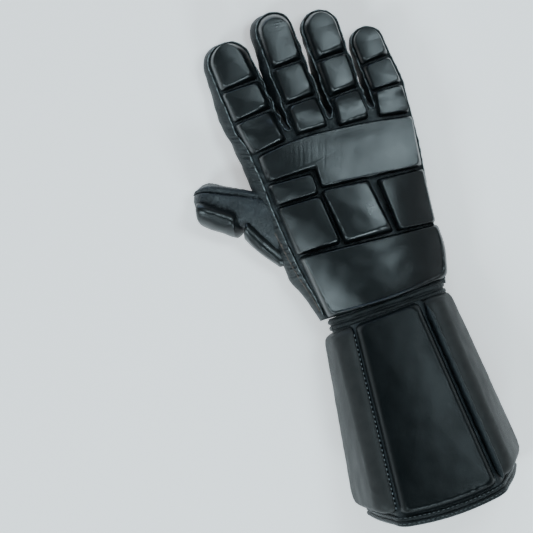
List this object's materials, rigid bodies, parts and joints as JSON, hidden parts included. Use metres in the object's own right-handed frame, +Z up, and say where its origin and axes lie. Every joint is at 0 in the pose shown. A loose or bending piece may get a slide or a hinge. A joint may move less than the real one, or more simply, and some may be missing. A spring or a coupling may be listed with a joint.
{
  "type": "escrima glove",
  "caption": "Padded leather stick-fighting glove for the right hand with a long flared forearm gauntlet, lying palm down.",
  "frame": {"origin": "on the surface that the glove lies on, below the middle of its whole box", "axes": "+Z up out of the back of the hand, +Y towards the fingertips, +X towards the little finger"},
  "size_m": [0.1604, 0.3549, 0.077],
  "materials": {
    "back_leather": "black leather, semi-gloss, faint cool tint",
    "palm_leather": "soft black leather, wrinkled, semi-gloss",
    "pad_leather": "smooth black leather stretched over foam, semi-gloss",
    "gauntlet_centre_leather": "smooth black leather, satin",
    "gauntlet_side_leather": "smooth black leather, satin, brighter where it faces the light",
    "binding_leather": "folded black leather edge binding, stitched",
    "lining_cloth": "black knitted cloth, matt",
    "hook_and_loop": "black hook-and-loop tape, matt"
  },
  "bodies": {
    "root": {"back_panel": "back_leather", "back_lining": "lining_cloth", "palm_leather": "palm_leather", "palm_opening_binding": "binding_leather", "radial_side_strip": "back_leather", "fourchette_index_middle": "back_leather", "fourchette_middle_ring": "back_leather", "fourchette_ring_little": "back_leather", "ulnar_side_strip": "back_leather", "thumb_shell": "palm_leather", "thumb_base_pad": "pad_leather", "thumb_tip_pad": "pad_leather", "index_tip_pad": "pad_leather", "index_middle_pad": "pad_leather", "index_root_pad": "pad_leather", "middle_tip_pad": "pad_leather", "middle_middle_pad": "pad_leather", "middle_root_pad": "pad_leather", "ring_tip_pad": "pad_leather", "ring_middle_pad": "pad_leather", "ring_root_pad": "pad_leather", "little_tip_pad": "pad_leather", "little_middle_pad": "pad_leather", "little_root_pad": "pad_leather", "hand_pad_short": "pad_leather", "hand_pad_radial": "pad_leather", "hand_pad_middle": "pad_leather", "hand_pad_ulnar": "pad_leather", "knuckle_pad": "pad_leather", "wrist_pad": "pad_leather", "wrist_binding_hand": "binding_leather", "wrist_binding_gauntlet": "binding_leather", "gauntlet_shell": "back_leather", "hem_binding": "binding_leather", "gauntlet_pad_palm": "gauntlet_centre_leather", "gauntlet_pad_radial": "gauntlet_side_leather", "gauntlet_pad_back": "gauntlet_centre_leather", "gauntlet_pad_ulnar": "gauntlet_side_leather", "closure_flap": "back_leather", "flap_binding": "binding_leather", "hook_and_loop_strip": "hook_and_loop"}
  },
  "joints": []
}
